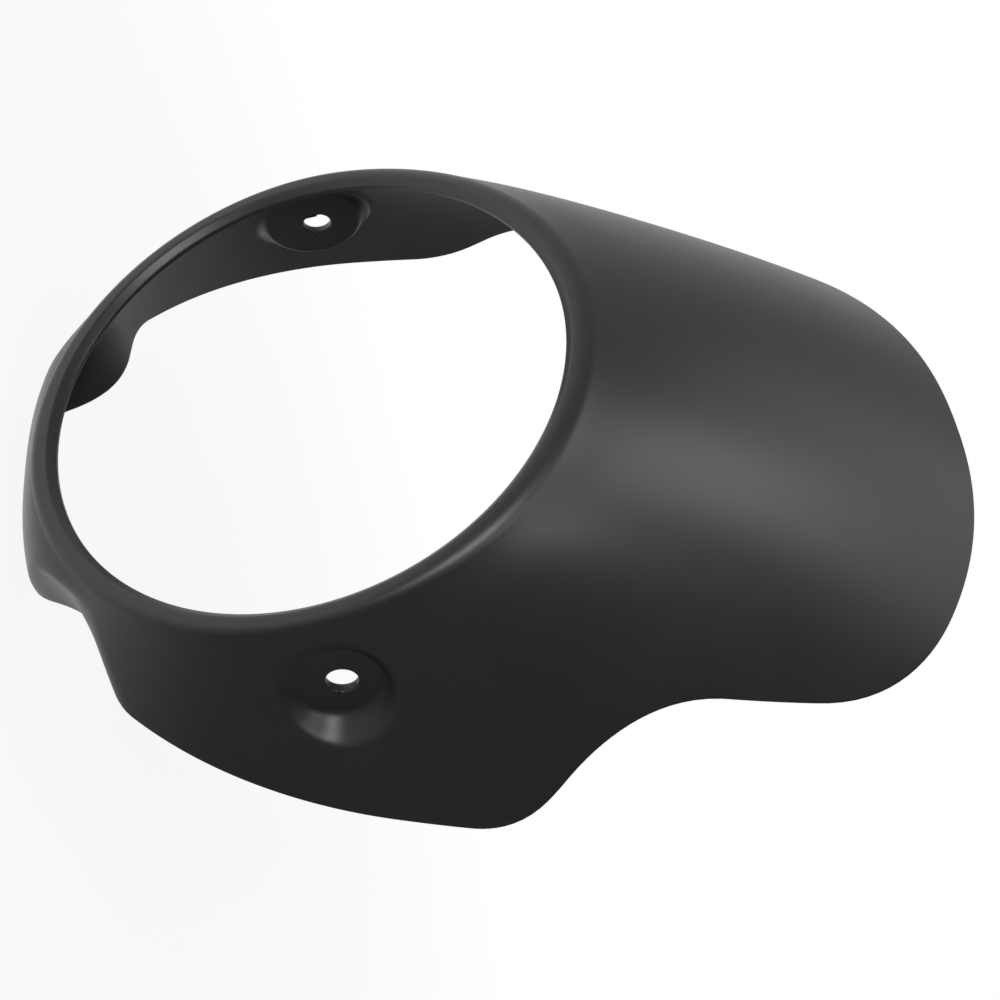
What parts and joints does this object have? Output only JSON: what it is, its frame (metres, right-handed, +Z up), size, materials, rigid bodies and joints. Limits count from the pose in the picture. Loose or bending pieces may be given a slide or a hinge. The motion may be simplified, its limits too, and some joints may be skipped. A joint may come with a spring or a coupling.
{
  "type": "motorbike headlight cowl",
  "caption": "One-piece moulded cowl that surrounds a round motorbike headlamp, with a tall visor above, a chin below and side pockets for its bolts.",
  "frame": {"origin": "centre of the round lamp opening, at the front end of its straight land", "axes": "-Y faces forward out of the lamp opening, +Z is up on the bike towards the visor, +X is across the bike through the right bolt hole"},
  "size_m": [0.2444, 0.1096, 0.3],
  "materials": {
    "satin_black": "satin black moulded plastic with a fine even sheen"
  },
  "bodies": {
    "root": {"cowl_shell": "satin_black"}
  },
  "joints": []
}
